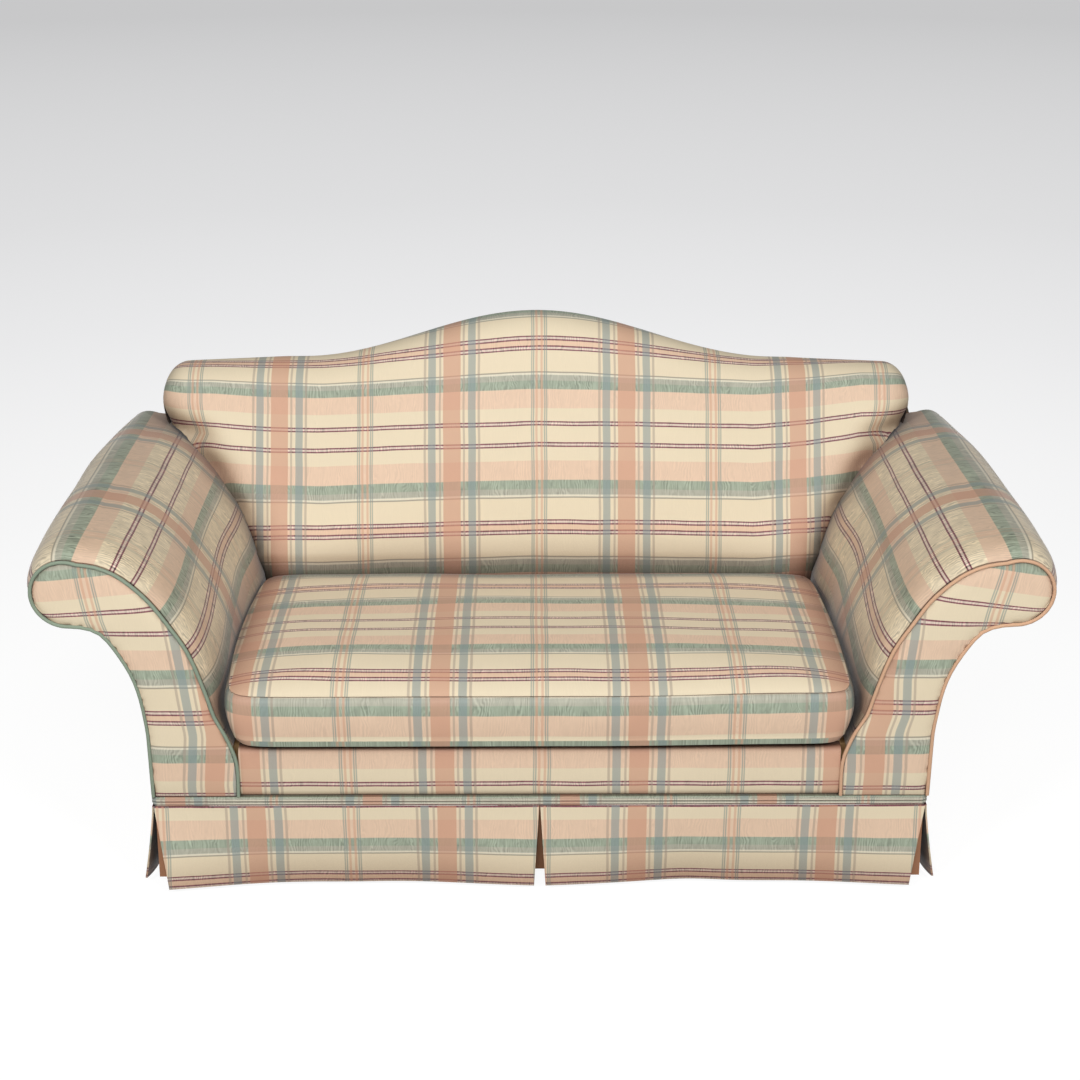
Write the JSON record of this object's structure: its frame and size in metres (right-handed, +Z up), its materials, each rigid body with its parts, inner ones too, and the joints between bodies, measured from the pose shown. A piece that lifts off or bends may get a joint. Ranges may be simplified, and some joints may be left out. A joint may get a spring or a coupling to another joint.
{
  "type": "camelback sofa",
  "caption": "Camelback sofa with rolled arms, loose box cushion with a zipped cover and a kick-pleated skirt, upholstered in plaid.",
  "frame": {"origin": "on the floor under the middle of the sofa's bounding box", "axes": "+X towards the right arm as seen from the front, +Y towards the back, +Z up; the sofa faces -Y"},
  "size_m": [1.894, 0.893, 0.927],
  "materials": {
    "plaid_fabric": "woven plaid with a watered sheen, cream ground with peach, green, grey and purple bands",
    "green_welt": "green woven cord cover",
    "peach_welt": "peach woven cord cover",
    "pleat_lining": "peach-brown lining cloth",
    "decking_cloth": "plain cotton decking",
    "foam": "open-cell foam",
    "dust_cloth": "black non-woven cloth",
    "hardwood": "planed, unfinished",
    "spring_steel": "drawn wire",
    "nylon_glide": "smooth",
    "zipper_tape": "woven tape with coil teeth",
    "zipper_metal": "cast"
  },
  "bodies": {
    "frame": {"right_arm_pad": "plaid_fabric", "left_arm_pad": "plaid_fabric", "right_arm_facing": "plaid_fabric", "left_arm_facing": "plaid_fabric", "right_outside_arm": "plaid_fabric", "left_outside_arm": "plaid_fabric", "inside_back": "plaid_fabric", "outside_back": "plaid_fabric", "front_border": "plaid_fabric", "base_band": "plaid_fabric", "right_front_stump": "hardwood", "left_front_stump": "hardwood", "right_rear_stump": "hardwood", "left_rear_stump": "hardwood", "right_arm_rail": "hardwood", "left_arm_rail": "hardwood", "right_back_post": "hardwood", "left_back_post": "hardwood", "back_lower_rail": "hardwood", "back_stile": "hardwood", "back_top_rail": "hardwood", "front_rail": "hardwood", "back_rail": "hardwood", "right_side_rail": "hardwood", "left_side_rail": "hardwood", "seat_cross_rail": "hardwood", "front_right_corner_block": "hardwood", "front_left_corner_block": "hardwood", "rear_right_corner_block": "hardwood", "rear_left_corner_block": "hardwood", "front_right_leg": "hardwood", "front_left_leg": "hardwood", "rear_right_leg": "hardwood", "rear_left_leg": "hardwood", "centre_pleat_flap": "pleat_lining", "front_right_pleat_flap": "pleat_lining", "front_left_pleat_flap": "pleat_lining", "rear_right_pleat_flap": "pleat_lining", "rear_left_pleat_flap": "pleat_lining", "front_right_glide": "nylon_glide", "front_left_glide": "nylon_glide", "rear_right_glide": "nylon_glide", "rear_left_glide": "nylon_glide", "left_facing_welt": "green_welt", "right_facing_welt": "peach_welt", "seat_springs": "spring_steel", "back_springs": "spring_steel", "seat_deck": "decking_cloth", "dust_cover": "dust_cloth"},
    "cushion": {"cushion_cover": "plaid_fabric", "cushion_core": "foam", "zipper_tape": "zipper_tape"},
    "zipper_slider": {"zipper_slider": "zipper_metal"},
    "front_left_skirt": {"front_left_skirt": "plaid_fabric"},
    "front_right_skirt": {"front_right_skirt": "plaid_fabric"},
    "left_skirt": {"left_skirt": "plaid_fabric"},
    "right_skirt": {"right_skirt": "plaid_fabric"},
    "back_skirt": {"back_skirt": "plaid_fabric"}
  },
  "joints": [
    {"name": "cushion_lift", "type": "slide", "parent": "frame", "child": "cushion", "axis": [0, 0, 1], "range_m": [0, 0.65]},
    {"name": "zipper_slide", "type": "slide", "parent": "cushion", "child": "zipper_slider", "axis": [1, 0, 0], "range_m": [0, 0.858]},
    {"name": "front_left_skirt_swing", "type": "hinge", "parent": "frame", "child": "front_left_skirt", "pos_m": [-0.368, -0.415, 0.1762], "axis": [-1, 0, 0], "range_deg": [0, 75]},
    {"name": "front_right_skirt_swing", "type": "hinge", "parent": "frame", "child": "front_right_skirt", "pos_m": [0.368, -0.415, 0.1762], "axis": [-1, 0, 0], "range_deg": [0, 75]},
    {"name": "left_skirt_swing", "type": "hinge", "parent": "frame", "child": "left_skirt", "pos_m": [-0.7365, 0, 0.1762], "axis": [0, 1, 0], "range_deg": [0, 75]},
    {"name": "right_skirt_swing", "type": "hinge", "parent": "frame", "child": "right_skirt", "pos_m": [0.7365, 0, 0.1762], "axis": [0, -1, 0], "range_deg": [0, 75]},
    {"name": "back_skirt_swing", "type": "hinge", "parent": "frame", "child": "back_skirt", "pos_m": [0, 0.42, 0.1762], "axis": [1, 0, 0], "range_deg": [0, 75]}
  ]
}
